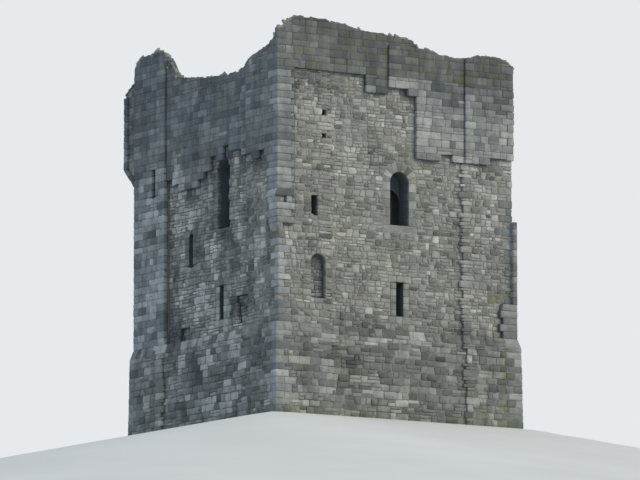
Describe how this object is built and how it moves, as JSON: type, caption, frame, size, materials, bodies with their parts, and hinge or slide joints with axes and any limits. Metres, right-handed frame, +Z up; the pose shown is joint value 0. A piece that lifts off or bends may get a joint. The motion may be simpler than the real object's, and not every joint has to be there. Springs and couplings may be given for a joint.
{
  "type": "ruined castle keep",
  "caption": "Square stone keep, roofless: battered plinth, hall over a basement, broken parapets and a rubble core with patches of dressed facing.",
  "frame": {"origin": "centre of the hall's plan, at the foot of the masonry", "axes": "+Z up; the front is -Y and the left side, as seen from the front, is -X"},
  "size_m": [12.44, 13.17, 17.1177],
  "materials": {
    "rubble_core": "rough coursed rubble in lime mortar",
    "dressed_facing": "weathered squared sandstone",
    "weathered_top": "dark lichened masonry",
    "dressed_surround": "worn dressed sandstone",
    "plinth_stone": "battered rubble plinth",
    "paving_stone": "worn flagstones",
    "joist_oak": "weathered oak beam",
    "board_oak": "weathered oak boards"
  },
  "bodies": {
    "root": {"front_plinth": "plinth_stone", "right_plinth": "plinth_stone", "back_plinth": "plinth_stone", "left_plinth": "plinth_stone", "front_lower_wall": "rubble_core", "right_lower_wall": "rubble_core", "back_lower_wall": "rubble_core", "left_lower_wall": "rubble_core", "front_upper_wall": "rubble_core", "right_upper_wall": "rubble_core", "back_upper_wall": "rubble_core", "left_upper_wall": "rubble_core", "front_left_buttress": "rubble_core", "front_right_buttress": "rubble_core", "back_right_buttress": "rubble_core", "back_left_buttress": "rubble_core", "front_left_turret": "weathered_top", "front_right_turret": "weathered_top", "back_right_turret": "weathered_top", "back_left_turret": "weathered_top", "front_parapet": "weathered_top", "right_parapet": "weathered_top", "back_parapet": "weathered_top", "left_wall_top": "weathered_top", "front_pilaster": "dressed_facing", "front_facing": "dressed_facing", "right_facing": "dressed_facing", "back_facing": "dressed_facing", "left_facing": "dressed_facing", "front_left_quoins": "dressed_facing", "front_right_quoins": "dressed_facing", "back_right_quoins": "dressed_facing", "back_left_quoins": "dressed_facing", "front_window_surround": "dressed_surround", "back_window_surround": "dressed_surround", "doorway_surround": "dressed_surround", "loop_surrounds": "dressed_surround", "hall_joists": "joist_oak", "hall_floor": "board_oak", "basement_floor": "paving_stone", "garderobe": "dressed_facing", "garderobe_corbels": "dressed_facing"}
  },
  "joints": []
}
